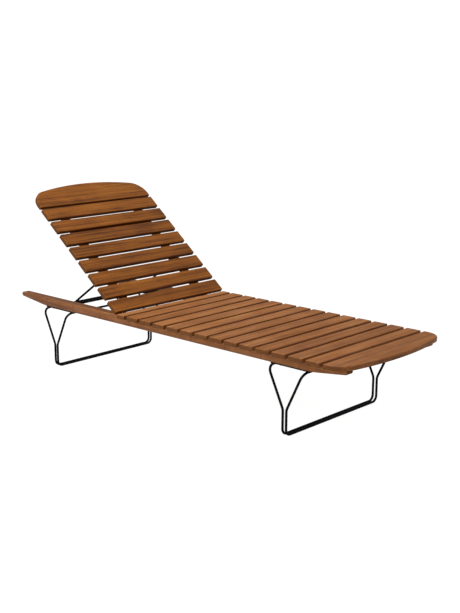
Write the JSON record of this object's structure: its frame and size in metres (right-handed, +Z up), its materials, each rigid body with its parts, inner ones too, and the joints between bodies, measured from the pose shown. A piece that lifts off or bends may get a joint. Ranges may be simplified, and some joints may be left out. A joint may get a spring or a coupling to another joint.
{
  "type": "sun lounger",
  "caption": "Slatted wooden sun lounger on bent-rod legs, with a hinged backrest held up by a rod prop over notched racks.",
  "frame": {"origin": "centre of the overall length and width, on the floor, backrest in the pictured position", "axes": "+X towards the foot end, +Y across to the right-hand rail, +Z up"},
  "size_m": [1.95, 0.66, 0.8147],
  "materials": {
    "wood": "oiled, fine straight grain along each slat",
    "black_steel": "satin black coating",
    "zinc_steel": "plain zinc-plated fasteners",
    "nylon": "plain moulded nylon"
  },
  "bodies": {
    "frame": {"foot_slat": "wood", "front_left_plate": "black_steel", "front_leg_foot_loop": "black_steel", "front_leg_head_loop": "black_steel", "front_right_plate": "black_steel", "left_rack": "black_steel", "left_rack_plate": "black_steel", "left_rail": "wood", "leg_screws": "zinc_steel", "pivot_bolts": "zinc_steel", "pivot_inserts": "zinc_steel", "rack_screws": "zinc_steel", "rear_left_plate": "black_steel", "rear_leg_foot_loop": "black_steel", "rear_leg_head_loop": "black_steel", "rear_right_plate": "black_steel", "right_rack": "black_steel", "right_rack_plate": "black_steel", "right_rail": "wood", "seat_slat_01": "wood", "seat_slat_02": "wood", "seat_slat_03": "wood", "seat_slat_04": "wood", "seat_slat_05": "wood", "seat_slat_06": "wood", "seat_slat_07": "wood", "seat_slat_08": "wood", "seat_slat_09": "wood", "seat_slat_10": "wood", "seat_slat_11": "wood", "seat_slat_12": "wood", "seat_slat_13": "wood", "seat_slat_14": "wood", "seat_slat_screws": "zinc_steel"},
    "backrest": {"back_fitting_screws": "zinc_steel", "back_slat_01": "wood", "back_slat_02": "wood", "back_slat_03": "wood", "back_slat_04": "wood", "back_slat_05": "wood", "back_slat_06": "wood", "back_slat_07": "wood", "back_slat_08": "wood", "back_slat_screws": "zinc_steel", "crossbar_screws": "zinc_steel", "head_slat": "wood", "hinge_bushes": "nylon", "left_batten": "wood", "left_hinge_arm": "black_steel", "left_prop_bracket": "black_steel", "lower_crossbar": "wood", "right_batten": "wood", "right_hinge_arm": "black_steel", "right_prop_bracket": "black_steel", "upper_crossbar": "wood"},
    "prop": {"left_prop_arm": "black_steel", "prop_foot_bar": "black_steel", "prop_top_bar": "black_steel", "right_prop_arm": "black_steel"}
  },
  "joints": [
    {"name": "backrest_tilt", "type": "hinge", "parent": "frame", "child": "backrest", "pos_m": [-0.2543, 0, 0.285], "axis": [0, 1, 0], "range_deg": [-39, 9.5]},
    {"name": "prop_fold", "type": "hinge", "parent": "backrest", "child": "prop", "pos_m": [-0.46763, 0, 0.45775], "axis": [0, 1, 0], "range_deg": [-19, 78]}
  ],
  "couplings": [
    {"joint": "prop_fold", "follows": "backrest_tilt", "ratio": -2}
  ]
}
